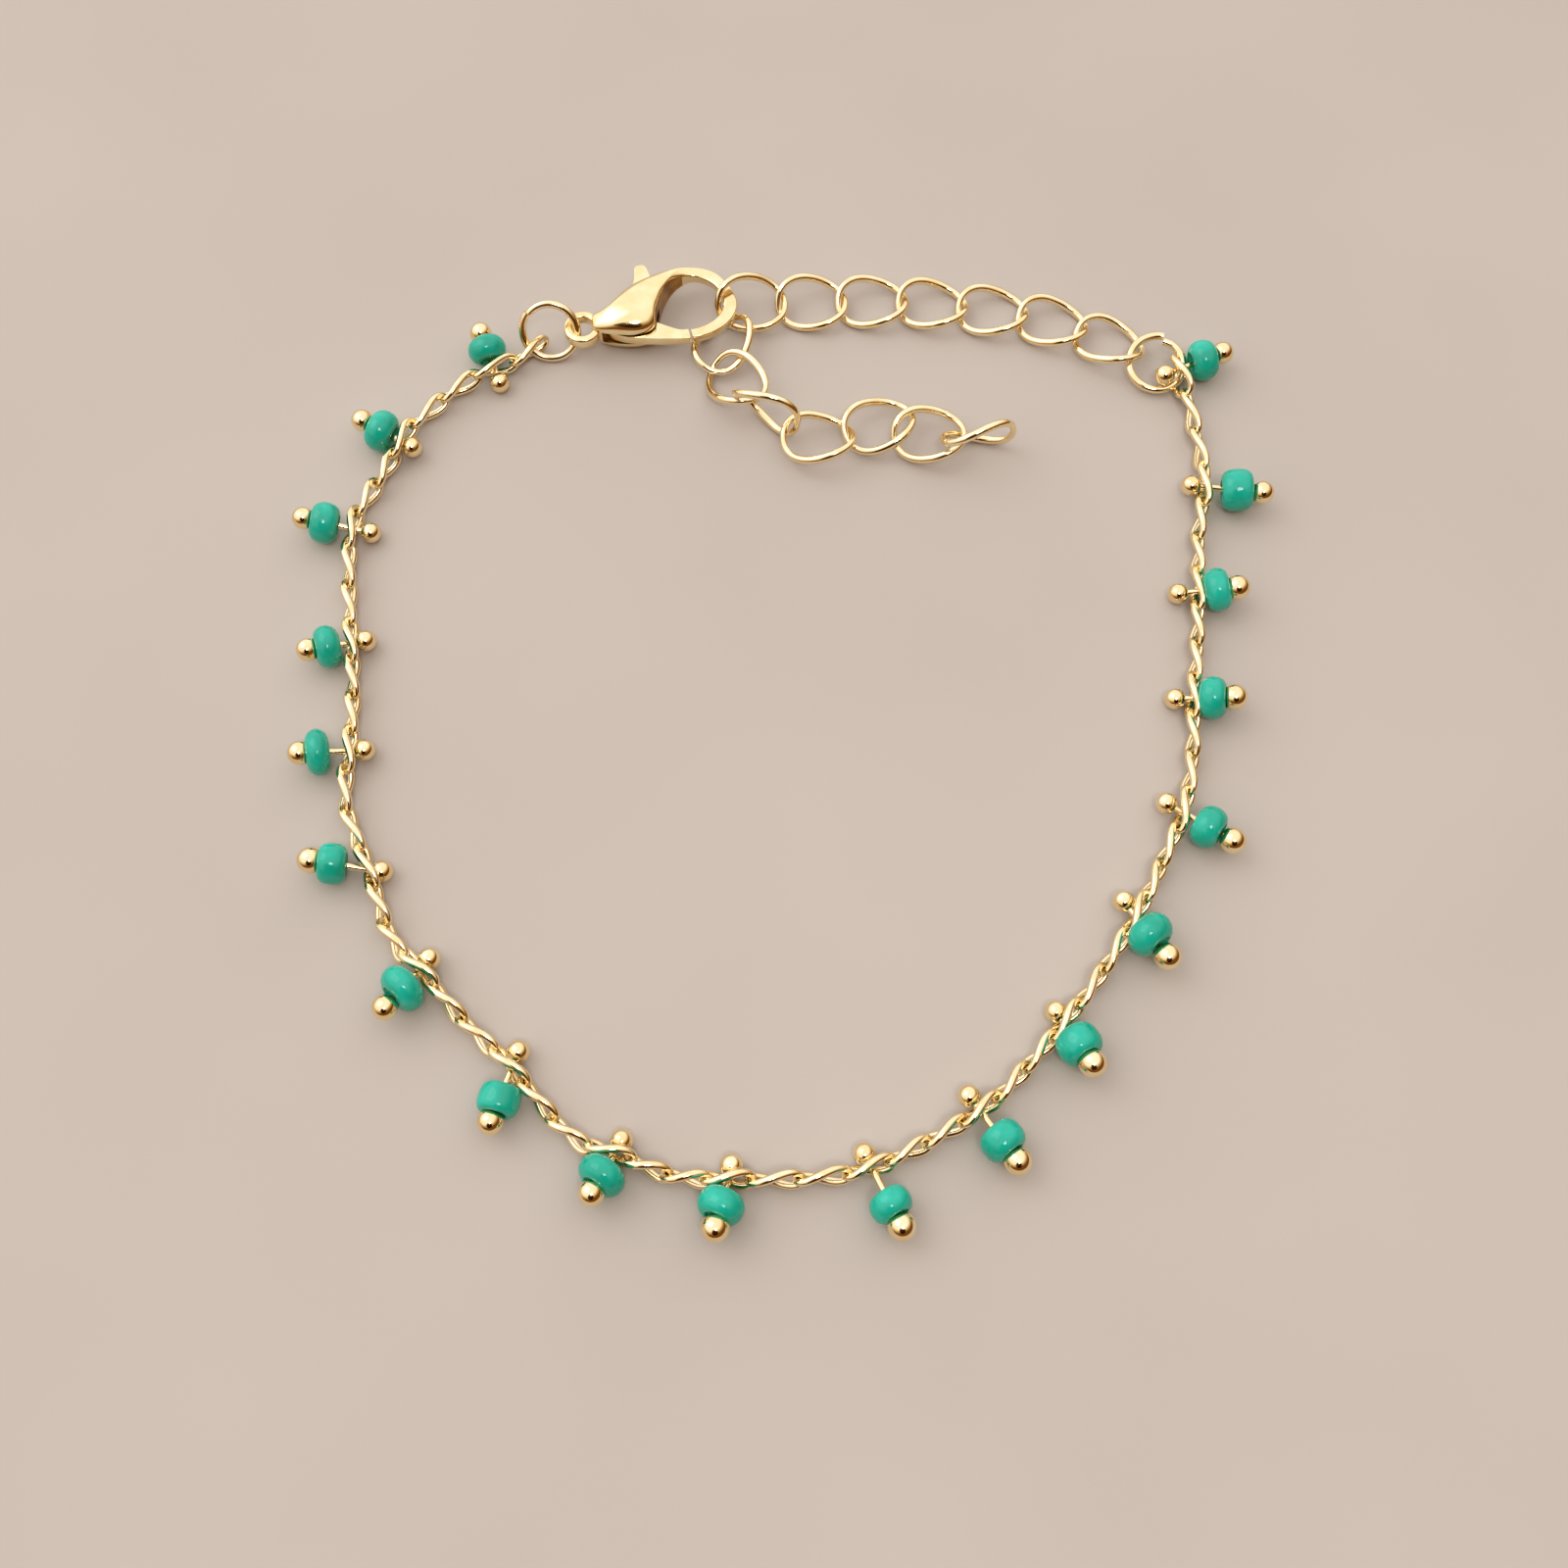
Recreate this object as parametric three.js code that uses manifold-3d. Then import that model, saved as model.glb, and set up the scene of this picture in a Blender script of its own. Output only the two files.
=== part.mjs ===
// A fine gold-plated curb-chain bracelet with nineteen glass-bead drops, lying in a loop.
// Millimetres, +Z up, resting plane at z = 0, origin under the middle of the whole object.
import * as THREE from 'three';
import { mergeVertices } from 'three/addons/utils/BufferGeometryUtils.js';
import Module from 'manifold-3d';

const wasm = await Module();
wasm.setup();

// Main chain: a tube in place of its fine twisted links, with a real end link at each end.
const CHAIN_RADIUS = 0.55;
const CHAIN_STEPS = 60;
const CHAIN_SIDES = 8;
const CHAIN_LOW = 0.86;
const END_LINK_LENGTH = 3.38;
const END_LINK_WIRE = 0.38;
const END_LINK_LEFT = { width: 1.5, height: 0.8 };
const END_LINK_RIGHT = { width: 1.92, height: 0.97 };

// Drops: a wire pin with a ball at each end, the outer one slightly larger, and one bead on it.
const INNER_BALL = 0.67;
const PIN_WIRE = 0.2;
const BEAD_HOLE = 0.4;
const BEAD_LIP = 0.7;
const BEAD_EDGE = 0.55;
const CUT_GAP = 0.1;

// Extender: oval curb links, each twisted from one end to the other.
const LINK_HALF_LENGTH = 2.34;
const LINK_HALF_WIDTH = 1.76;
const LINK_WIRE = 0.21;
const LINK_TWIST = 25;
const LINK_FULLNESS = 2.25;

// Jump rings.
const RING_RADIUS = 1.85;
const RING_LEFT = { at: [-15.85, 26.95, 1.72], roll: 52, wire: 0.26 };
const RING_RIGHT = { at: [25.33, 24.87, 0.9], roll: 12, wire: 0.26 };

// Clasp, in its own frame: u from the base loop to the hook, v towards the spine.
const CLASP_AT = [-14.91, 26.93, 1.6];
const CLASP_TURN = 9.7;
const CLASP_HALF_DEPTH = 1.6;
const HOOK_HALF_DEPTH = 0.36;
const SLOT_HALF_DEPTH = 0.5;
const LEVER_HALF_DEPTH = 0.34;
const BASE_LOOP = { u: 1.28, radius: 1.0, wire: 0.28 };
const PIVOT = { u: 4.0, v: -0.35, radius: 0.3, hole: 0.45, half: 1.2 };

// Puts the origin under the middle of the bounding box.
const SHIFT = [-0.047, 0.339, 0];

// Plan of the main chain, from the left jump ring round the loop to the right jump ring.
const ROUTE = [
  [-16.1, 27.1], [-17.3, 26.0], [-18.5, 24.9], [-19.6, 24.5], [-22.2, 22.7], [-24.8, 19.8],
  [-26.2, 16.8], [-28.0, 12.6], [-28.0, 8.6], [-27.4, 4.0], [-27.0, 0.4], [-26.8, -3.5],
  [-26.7, -7.0], [-25.1, -10.9], [-23.2, -15.4], [-21.4, -17.3], [-18.5, -20.5], [-15.8, -23.0],
  [-13.4, -25.7], [-11.6, -27.3], [-9.8, -27.9], [-6.3, -29.2], [-3.0, -29.4], [0.5, -29.4],
  [4.0, -29.0], [7.2, -27.8], [11.4, -25.4], [14.1, -22.9], [16.5, -20.2], [19.0, -17.0],
  [21.0, -13.9], [23.1, -10.0], [24.3, -7.4], [25.2, -3.6], [25.6, 0.4], [26.2, 4.4],
  [26.9, 11.5], [27.6, 15.4], [27.4, 19.6], [26.9, 23.1], [26.4, 25.5],
];

// at: distance along the chain; heading: the way the drop points; back: inner ball to chain;
// bead: inner ball to bead middle; length: ball to ball; rest: height of the inner ball;
// wide and long: the bead's diameter and length; ball: radius of the outer ball.
const DROP_COLUMNS = ['at', 'heading', 'back', 'bead', 'length', 'rest', 'wide', 'long', 'ball'];
const DROPS = [
  [4.46, 112, 1.08, 2.46, 3.69, 0.68, 2.56, 1.6, 0.73],
  [12.84, 154, 0.85, 2.28, 3.7, 0.96, 2.74, 1.72, 0.73],
  [19.9, 173, 1.21, 2.99, 4.33, 0.68, 2.67, 1.75, 0.73],
  [28.22, 197, 0.93, 2.41, 3.6, 0.82, 2.73, 1.55, 0.74],
  [35.6, 188, 0.91, 2.8, 3.86, 0.84, 2.9, 1.45, 0.75],
  [43.57, 174, 0.85, 2.97, 4.26, 0.73, 2.53, 1.68, 0.8],
  [50.92, 236, 0.85, 2.41, 3.93, 0.91, 2.96, 1.65, 0.76],
  [59.08, 253, 1.06, 3.04, 4.36, 0.81, 2.45, 1.72, 0.77],
  [67.03, 244, 0.88, 2.39, 3.55, 0.73, 2.84, 1.56, 0.77],
  [73.68, 257, 0.84, 2.48, 3.79, 0.68, 2.7, 1.64, 0.82],
  [81.81, 296, 0.85, 3.22, 4.56, 0.75, 2.5, 1.55, 0.82],
  [88.81, 304, 1.01, 3.14, 4.55, 0.92, 2.6, 1.77, 0.82],
  [96.03, 298, 0.85, 2.44, 3.86, 0.68, 2.66, 1.84, 0.83],
  [103.87, 301, 1.17, 2.57, 4.26, 0.99, 2.86, 1.82, 0.82],
  [111.28, 324, 1.15, 2.9, 4.53, 0.93, 2.66, 1.71, 0.8],
  [119.03, 354, 1.13, 2.32, 3.62, 0.68, 2.7, 1.62, 0.8],
  [126.55, 358, 1.26, 2.47, 3.71, 0.68, 2.76, 1.58, 0.8],
  [134.31, 348, 0.85, 2.95, 4.56, 0.98, 2.74, 2.0, 0.75],
  [143.4, 22, 1.1, 2.84, 4.3, 1.2, 2.7, 1.7, 0.74],
];

// Middle of each extender link, its heading, the tilt along it and the roll about it.
// The first seven run from the clasp to the right jump ring, the last seven are the free tail.
const LINK_COLUMNS = ['x', 'y', 'z', 'heading', 'tilt', 'roll'];
const LINKS = [
  [-2.22, 29.55, 1.35, 6, -10, 26],
  [1.9, 29.9, 0.9, 1, -4, 15],
  [6.06, 30.05, 0.78, -1, 0, 5],
  [10.22, 29.85, 0.78, -7, -1, 0],
  [14.35, 29.35, 0.72, -5, -1, 0],
  [18.43, 28.4, 0.74, -14, -1, -1],
  [22.2, 26.7, 0.88, -26, 2, -7],
  [-4.15, 26.65, 0.85, -115, 0, 10],
  [-3.26, 23.33, 1.25, -55.3, 13.7, 8.7],
  [-1.16, 20.56, 2.08, -29.7, -3.7, 98.2],
  [2.29, 18.87, 1.23, -0.8, 0.3, -4.5],
  [6.29, 19.99, 1.06, 18.7, 1.4, 3.1],
  [9.64, 19.2, 1.11, -1.1, 1.4, 9.2],
  [12.79, 18.62, 1.91, 6, 4.4, 116.1],
];

// Clasp outlines. The hook's plate is open between the belly and the hook's tip.
const HOOK_PLATE = [
  [2.1, 0.65], [3.3, 1.2], [5.1, 2.65], [6.4, 3.2], [7.75, 3.5], [9.1, 3.55], [10.25, 3.35],
  [11.0, 2.85], [11.65, 1.65], [11.95, 0.55], [11.9, -0.2], [11.5, -0.9], [10.7, -1.5],
  [9.8, -1.95], [8.55, -2.15], [8.5, -1.35], [9.2, -1.3], [10.0, -0.9], [10.65, -0.4],
  [10.95, 0.3], [10.95, 1.1], [10.45, 2.05], [9.75, 2.65], [8.65, 2.8], [7.4, 2.3], [6.6, 1.35],
  [6.2, 0.3], [6.1, -0.7], [5.4, -1.3], [4.6, -1.5], [3.9, -1.4], [3.0, -1.1], [2.1, -0.6],
];
const BELLY = [
  [2.0, 0.65], [3.3, 1.22], [5.1, 2.65], [6.4, 3.2], [7.6, 3.45], [8.0, 3.0], [7.36, 2.3],
  [6.6, 1.35], [6.2, 0.3], [6.1, -0.7], [5.4, -1.3], [4.6, -1.5], [3.9, -1.4], [3.0, -1.1],
  [2.0, -0.6],
];
const BELLY_DOME = { u: 4.6, v: 0.8, turn: 32, half: [4.3, 3.1, 1.75] };
const SLOT = [
  [2.5, -2.6], [7.9, -2.6], [7.9, -0.4], [6.45, 0.6], [6.1, 1.15], [6.45, 2.55], [6.55, 3.4],
  [6.55, 5.0], [2.5, 5.0],
];
const LEVER = [
  [8.4, -2.12], [8.35, -1.4], [7.2, -1.05], [6.3, -0.52], [5.7, -0.1], [5.75, 1.2], [6.25, 2.6],
  [6.35, 3.3], [6.1, 4.25], [5.75, 4.4], [5.35, 4.2], [5.2, 3.2], [4.7, 2.0], [3.9, 0.6],
  [3.1, 0.15], [2.75, -0.4], [2.85, -0.95], [4.1, -1.4], [5.9, -1.85],
];

const gold = new THREE.MeshStandardMaterial({ color: 0xddb768, roughness: 0.16, metalness: 1 });
const glass = new THREE.MeshStandardMaterial({ color: 0x2fae90, roughness: 0.18, metalness: 0 });

const deg = THREE.MathUtils.degToRad;
const UP = new THREE.Vector3(0, 0, 1);

function named(columns, row) {
  return Object.fromEntries(columns.map((name, i) => [name, row[i]]));
}

// A closed solid from a geometry, and back, for cutting and joining.
function toSolid(geometry) {
  const plain = geometry.clone();
  plain.deleteAttribute('normal');
  plain.deleteAttribute('uv');
  const merged = mergeVertices(plain, 1e-4);
  const vertProperties = new Float32Array(merged.attributes.position.array);
  const triVerts = new Uint32Array(merged.index.array);
  return new wasm.Manifold(new wasm.Mesh({ numProp: 3, vertProperties, triVerts }));
}

function toGeometry(solid) {
  const mesh = solid.getMesh();
  const geometry = new THREE.BufferGeometry();
  geometry.setAttribute('position', new THREE.BufferAttribute(mesh.vertProperties, 3));
  geometry.setIndex(new THREE.BufferAttribute(mesh.triVerts, 1));
  geometry.computeVertexNormals();
  return geometry;
}

// Forward, sideways and upward directions of something that heads one way and tilts along it.
function axes(heading, tilt) {
  const h = deg(heading);
  const t = deg(tilt);
  const along = new THREE.Vector3(Math.cos(h) * Math.cos(t), Math.sin(h) * Math.cos(t), Math.sin(t));
  const side = new THREE.Vector3(-Math.sin(h), Math.cos(h), 0);
  return { along, side, up: new THREE.Vector3().crossVectors(along, side) };
}

// An oval wire link: a full ellipse whose cross direction turns steadily along its length.
class LinkCurve extends THREE.Curve {
  constructor(frame, size, roll, twist) {
    super();
    Object.assign(this, { frame, size, roll, twist });
    this.arcLengthDivisions = 400;
  }

  getPoint(t, target = new THREE.Vector3()) {
    const angle = 2 * Math.PI * t;
    const power = 2 / LINK_FULLNESS;
    const c = Math.cos(angle);
    const s = Math.sin(angle);
    const x = Math.sign(c) * Math.abs(c) ** power;
    const y = this.size.halfWidth * Math.sign(s) * Math.abs(s) ** power;
    const phi = deg(this.roll - this.twist * x);
    target.copy(this.frame.at);
    target.addScaledVector(this.frame.along, this.size.halfLength * x);
    target.addScaledVector(this.frame.side, y * Math.cos(phi));
    return target.addScaledVector(this.frame.up, y * Math.sin(phi));
  }
}

function wireLoop(curve, steps, wire, sides) {
  return new THREE.TubeGeometry(curve, steps, wire, sides, true);
}

// Plan curve of the chain, and its height, which eases down between drops.
const plan = new THREE.CatmullRomCurve3(
  ROUTE.map(([x, y]) => new THREE.Vector3(x, y, 0)), false, 'catmullrom', 0.5);
plan.arcLengthDivisions = 1600;
const chainLength = plan.getLength();

// A drop's bead and inner ball both rest, which sets the lift of its pin.
function settle(row) {
  const drop = named(DROP_COLUMNS, row);
  const radius = drop.wide / 2;
  const half = drop.long / 2;
  drop.lift = 0.25;
  for (let i = 0; i < 8; i += 1) {
    const reach = (radius - BEAD_EDGE) * Math.cos(drop.lift) + (half - BEAD_EDGE) * Math.sin(drop.lift);
    drop.lift = Math.asin((reach + BEAD_EDGE - drop.rest) / drop.bead);
  }
  drop.height = drop.rest + drop.back * Math.sin(drop.lift);
  drop.along = axes(drop.heading, THREE.MathUtils.radToDeg(drop.lift)).along;
  drop.through = plan.getPointAt(drop.at / chainLength).setZ(drop.height);
  drop.inner = drop.through.clone().addScaledVector(drop.along, -drop.back);
  return drop;
}
const drops = DROPS.map(settle);

const knots = [
  { at: END_LINK_LENGTH / 2, height: END_LINK_LEFT.height },
  ...drops.slice(0, -1),
  { at: chainLength - END_LINK_LENGTH / 2, height: END_LINK_RIGHT.height },
];

function chainHeight(at) {
  const after = Math.max(1, knots.findIndex((knot) => knot.at >= at));
  const [a, b] = [knots[after - 1], knots[after]];
  const u = THREE.MathUtils.clamp((at - a.at) / (b.at - a.at), 0, 1);
  const straight = a.height + (b.height - a.height) * u;
  return straight + (CHAIN_LOW - straight) * Math.sin(Math.PI * u) ** 2;
}

function chainPoint(at) {
  return plan.getPointAt(at / chainLength).setZ(chainHeight(at));
}

// Profile of a pin, from the inner ball's pole to the outer ball's, grown by a gap.
function pinProfile(drop, grow) {
  const ball = (centre, radius, from, to) => [0, 1, 2, 3].map((i) => {
    const angle = from + (to - from) * (i / 3);
    return new THREE.Vector2(radius * Math.sin(angle), centre - radius * Math.cos(angle));
  });
  const wire = PIN_WIRE + grow;
  const inner = INNER_BALL + grow;
  const outer = drop.ball + grow;
  const points = [
    ...ball(0, inner, 0, Math.PI - Math.asin(wire / inner)),
    ...ball(drop.length, outer, Math.asin(wire / outer), Math.PI),
  ];
  points[0].x = 0;
  points[points.length - 1].x = 0;
  return points;
}

function beadProfile(wide, long) {
  const r = wide / 2;
  const h = long / 2;
  const half = [[BEAD_HOLE, h - 0.36], [BEAD_LIP, h], [r - 0.5, h], [r - 0.1, h - 0.3]];
  const lower = half.map(([x, y]) => new THREE.Vector2(x, -y));
  const upper = half.map(([x, y]) => new THREE.Vector2(x, y)).reverse();
  const belt = [new THREE.Vector2(r, 0)];
  return [...lower, ...belt, ...upper, lower[0].clone()];
}

function placed(geometry, origin, along) {
  const turn = new THREE.Quaternion().setFromUnitVectors(new THREE.Vector3(0, 1, 0), along);
  const matrix = new THREE.Matrix4().compose(origin, turn, new THREE.Vector3(1, 1, 1));
  return geometry.clone().applyMatrix4(matrix);
}

const root = new THREE.Group();
root.position.set(...SHIFT);

function add(parent, name, geometry, material) {
  const mesh = new THREE.Mesh(geometry, material);
  mesh.name = name;
  parent.add(mesh);
  return mesh;
}

function two(n) {
  return String(n).padStart(2, '0');
}

// Chain tube, its end links, and the holes and hollows that the drops need in it.
function endLink(at, shape) {
  const point = plan.getPointAt(at / chainLength).setZ(shape.height);
  const way = plan.getTangentAt(at / chainLength);
  const frame = { at: point, along: way, side: new THREE.Vector3().crossVectors(UP, way), up: UP };
  const size = {
    halfLength: (END_LINK_LENGTH - END_LINK_WIRE) / 2,
    halfWidth: (shape.width - END_LINK_WIRE) / 2,
  };
  return toSolid(wireLoop(new LinkCurve(frame, size, 90, 0), 18, END_LINK_WIRE / 2, 6));
}

function chainSolid() {
  const from = END_LINK_LENGTH - 0.35;
  const to = chainLength - END_LINK_LENGTH + 0.35;
  const points = Array.from({ length: CHAIN_STEPS * 2 + 1 }, (_, i) =>
    chainPoint(from + ((to - from) * i) / (CHAIN_STEPS * 2)));
  const section = new THREE.Shape();
  for (let i = 0; i < CHAIN_SIDES; i += 1) {
    const angle = (2 * Math.PI * (i + 0.5)) / CHAIN_SIDES;
    const [x, y] = [CHAIN_RADIUS * Math.cos(angle), CHAIN_RADIUS * Math.sin(angle)];
    if (i === 0) section.moveTo(x, y);
    else section.lineTo(x, y);
  }
  const tube = new THREE.ExtrudeGeometry(section, {
    steps: CHAIN_STEPS,
    bevelEnabled: false,
    extrudePath: new THREE.CatmullRomCurve3(points),
  });
  let solid = toSolid(tube);
  solid = solid.add(endLink(END_LINK_LENGTH / 2, END_LINK_LEFT));
  solid = solid.add(endLink(chainLength - END_LINK_LENGTH / 2, END_LINK_RIGHT));
  for (const drop of drops) {
    const pin = new THREE.LatheGeometry(pinProfile(drop, CUT_GAP), 8);
    solid = solid.subtract(toSolid(placed(pin, drop.inner, drop.along)));
    const bead = new THREE.CylinderGeometry(
      drop.wide / 2 + CUT_GAP, drop.wide / 2 + CUT_GAP, drop.long + 2 * CUT_GAP, 10);
    const middle = drop.inner.clone().addScaledVector(drop.along, drop.bead);
    solid = solid.subtract(toSolid(placed(bead, middle, drop.along)));
  }
  return solid;
}
add(root, 'curb_chain', toGeometry(chainSolid()), gold);

drops.forEach((drop, i) => {
  const turn = new THREE.Quaternion().setFromUnitVectors(new THREE.Vector3(0, 1, 0), drop.along);
  const group = new THREE.Group();
  group.position.copy(drop.inner);
  group.quaternion.copy(turn);
  root.add(group);
  add(group, `pin_${two(i + 1)}`, new THREE.LatheGeometry(pinProfile(drop, 0), 8), gold);
  const bead = new THREE.LatheGeometry(beadProfile(drop.wide, drop.long), 10);
  add(group, `bead_${two(i + 1)}`, bead, glass).position.y = drop.bead;
});

LINKS.forEach((row, i) => {
  const link = named(LINK_COLUMNS, row);
  const frame = { ...axes(link.heading, link.tilt), at: new THREE.Vector3() };
  const size = { halfLength: LINK_HALF_LENGTH, halfWidth: LINK_HALF_WIDTH };
  const curve = new LinkCurve(frame, size, link.roll, LINK_TWIST);
  const mesh = add(root, `link_${two(i + 1)}`, wireLoop(curve, 18, LINK_WIRE, 6), gold);
  mesh.position.set(link.x, link.y, link.z);
});

function jumpRing(name, ring) {
  const mesh = add(root, name, new THREE.TorusGeometry(RING_RADIUS, ring.wire, 6, 18), gold);
  mesh.position.set(...ring.at);
  mesh.rotation.x = deg(ring.roll);
}
jumpRing('jump_ring_left', RING_LEFT);
jumpRing('jump_ring_right', RING_RIGHT);

// Clasp: a domed, slotted belly with the hook and the base loop, and the sprung gate in its slot.
const clasp = new THREE.Group();
clasp.position.set(...CLASP_AT);
clasp.rotation.z = deg(CLASP_TURN);
root.add(clasp);

function plate(outline, half) {
  const shape = new THREE.Shape(outline.map(([u, v]) => new THREE.Vector2(u, v)));
  const geometry = new THREE.ExtrudeGeometry(shape, { depth: 2 * half, bevelEnabled: false });
  return toSolid(geometry.translate(0, 0, -half));
}

function post(radius, half) {
  const geometry = new THREE.CylinderGeometry(radius, radius, 2 * half, 10).rotateX(Math.PI / 2);
  return toSolid(geometry.translate(PIVOT.u, PIVOT.v, 0));
}

function claspBody() {
  const dome = new THREE.SphereGeometry(1, 20, 12).rotateX(Math.PI / 2);
  dome.scale(...BELLY_DOME.half).rotateZ(deg(BELLY_DOME.turn));
  dome.translate(BELLY_DOME.u, BELLY_DOME.v, 0);
  const loop = new THREE.TorusGeometry(BASE_LOOP.radius, BASE_LOOP.wire, 6, 16);
  loop.translate(BASE_LOOP.u, 0, 0);
  return plate(BELLY, CLASP_HALF_DEPTH)
    .intersect(toSolid(dome))
    .add(plate(HOOK_PLATE, HOOK_HALF_DEPTH))
    .subtract(plate(SLOT, SLOT_HALF_DEPTH))
    .add(toSolid(loop))
    .add(post(PIVOT.radius, PIVOT.half));
}
add(clasp, 'clasp_body', toGeometry(claspBody()), gold);

const lever = plate(LEVER, LEVER_HALF_DEPTH).subtract(post(PIVOT.hole, 1));
add(clasp, 'clasp_lever', toGeometry(lever), gold);

export default root;
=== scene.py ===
"""Gold-plated curb-chain bracelet with green glass drops, lying in a loop on a pale floor.

Lengths here are millimetres in the part's own frame; meshes are scaled to metres when made.
"""

import bmesh
import bpy
import numpy as np
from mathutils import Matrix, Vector


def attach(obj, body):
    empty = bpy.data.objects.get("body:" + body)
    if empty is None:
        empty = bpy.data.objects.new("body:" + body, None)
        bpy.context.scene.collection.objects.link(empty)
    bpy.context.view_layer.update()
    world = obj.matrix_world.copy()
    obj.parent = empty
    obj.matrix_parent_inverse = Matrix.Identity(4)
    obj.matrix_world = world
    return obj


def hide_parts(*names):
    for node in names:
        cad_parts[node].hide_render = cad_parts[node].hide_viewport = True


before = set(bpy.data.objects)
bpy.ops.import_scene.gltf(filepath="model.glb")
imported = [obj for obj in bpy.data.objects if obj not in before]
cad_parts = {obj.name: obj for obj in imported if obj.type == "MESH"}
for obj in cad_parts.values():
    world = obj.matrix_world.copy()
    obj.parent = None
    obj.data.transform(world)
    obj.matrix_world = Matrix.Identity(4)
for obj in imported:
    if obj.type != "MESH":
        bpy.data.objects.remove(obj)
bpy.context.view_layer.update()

MM = 0.001
TURN = 2.0 * np.pi
SHIFT = np.array([-0.047, 0.339, 0.0])
UP = np.array([0.0, 0.0, 1.0])
# Edges that bend more than this, degrees, stay crisp.
WIRE_SHARP = 50
CAST_SHARP = 38
rng = np.random.default_rng(19)

# Plan of the main chain, from the left jump ring round the loop to the right jump ring.
ROUTE = np.array([
    [-16.1, 27.1], [-17.3, 26.0], [-18.5, 24.9], [-19.6, 24.5], [-22.2, 22.7], [-24.8, 19.8],
    [-26.2, 16.8], [-28.0, 12.6], [-28.0, 8.6], [-27.4, 4.0], [-27.0, 0.4], [-26.8, -3.5],
    [-26.7, -7.0], [-25.1, -10.9], [-23.2, -15.4], [-21.4, -17.3], [-18.5, -20.5], [-15.8, -23.0],
    [-13.4, -25.7], [-11.6, -27.3], [-9.8, -27.9], [-6.3, -29.2], [-3.0, -29.4], [0.5, -29.4],
    [4.0, -29.0], [7.2, -27.8], [11.4, -25.4], [14.1, -22.9], [16.5, -20.2], [19.0, -17.0],
    [21.0, -13.9], [23.1, -10.0], [24.3, -7.4], [25.2, -3.6], [25.6, 0.4], [26.2, 4.4],
    [26.9, 11.5], [27.6, 15.4], [27.4, 19.6], [26.9, 23.1], [26.4, 25.5],
])
# Wire radii are at a link's ends and, where the wire swells, at the middle of its sides.
CHAIN_LINKS = 56
CHAIN_WIRE = 0.19
CHAIN_SWELL = 0.26
CHAIN_LINK_LENGTH = 3.38
CHAIN_LINK_HALF_WIDTH = 0.585
CHAIN_LOW = 0.86
CHAIN_ROLL = 84.0
CHAIN_TWIST = 55.0
CHAIN_ROLL_SPREAD = 2.5
CHAIN_PLAY = 0.03
CHAIN_SLIP = 0.75
# The end links, left and right: height, roll, twist and half width.
END_LINKS = ((0.8, 68.0, 40.0, CHAIN_LINK_HALF_WIDTH), (0.97, 95.0, 45.0, 0.78))

# at: distance along the chain; heading: the way the drop points; back: inner ball to chain;
# bead: inner ball to bead middle; length: ball to ball; rest: height of the inner ball;
# wide and long: the bead's diameter and length; ball: radius of the outer ball; square: how
# barrel-shaped the bead's outline is; askew: how far it has turned on its pin, degrees.
DROP = np.dtype([(name, float) for name in (
    "at", "heading", "back", "bead", "length", "rest", "wide", "long", "ball", "square",
    "askew")])
DROPS = np.array([
    (4.46, 112, 1.08, 2.46, 3.69, 0.68, 2.56, 1.6, 0.73, 1.9, -3),
    (12.84, 154, 0.85, 2.28, 3.7, 0.96, 2.74, 1.72, 0.73, 2.0, 3),
    (19.9, 173, 1.21, 2.99, 4.33, 0.68, 2.67, 1.75, 0.73, 2.1, 1),
    (28.22, 197, 0.93, 2.41, 3.6, 0.82, 2.73, 1.55, 0.74, 1.9, 1),
    (35.6, 188, 0.91, 2.8, 3.86, 0.84, 2.9, 1.45, 0.75, 1.9, 4),
    (43.57, 174, 0.85, 2.97, 4.26, 0.73, 2.53, 1.68, 0.8, 2.4, 5),
    (50.92, 236, 0.85, 2.41, 3.93, 0.91, 2.96, 1.65, 0.76, 1.9, -10),
    (59.08, 253, 1.06, 3.04, 4.36, 0.81, 2.45, 1.72, 0.77, 2.7, 4),
    (67.03, 244, 0.88, 2.39, 3.55, 0.73, 2.84, 1.56, 0.77, 2.0, -9),
    (73.68, 257, 0.84, 2.48, 3.79, 0.68, 2.7, 1.64, 0.82, 2.1, -10),
    (81.81, 296, 0.85, 3.22, 4.56, 0.75, 2.5, 1.55, 0.82, 2.1, 6),
    (88.81, 304, 1.01, 3.14, 4.55, 0.92, 2.6, 1.77, 0.82, 2.2, 4),
    (96.03, 298, 0.85, 2.44, 3.86, 0.68, 2.66, 1.84, 0.83, 2.4, 1),
    (103.87, 301, 1.17, 2.57, 4.26, 0.99, 2.86, 1.82, 0.82, 1.9, 7),
    (111.28, 324, 1.15, 2.9, 4.53, 0.93, 2.66, 1.71, 0.8, 2.0, 2),
    (119.03, 354, 1.13, 2.32, 3.62, 0.68, 2.7, 1.62, 0.8, 2.1, -2),
    (126.55, 358, 1.26, 2.47, 3.71, 0.68, 2.76, 1.58, 0.8, 2.2, 7),
    (134.31, 348, 0.85, 2.95, 4.56, 0.98, 2.74, 2.0, 0.75, 2.5, 10),
    (143.4, 22, 1.1, 2.84, 4.3, 1.2, 2.7, 1.7, 0.74, 2.1, -9),
], dtype=DROP)
INNER_BALL = 0.67
PIN_WIRE = 0.2
BEAD_HOLE = 0.4
BEAD_LIP = 0.68
BEAD_DIP = 0.32
BEAD_EDGE = 0.55
# Waves round a bead's girth, and each one's share of its radius.
BEAD_WAVES = ((2, 0.008), (3, 0.006))

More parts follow.
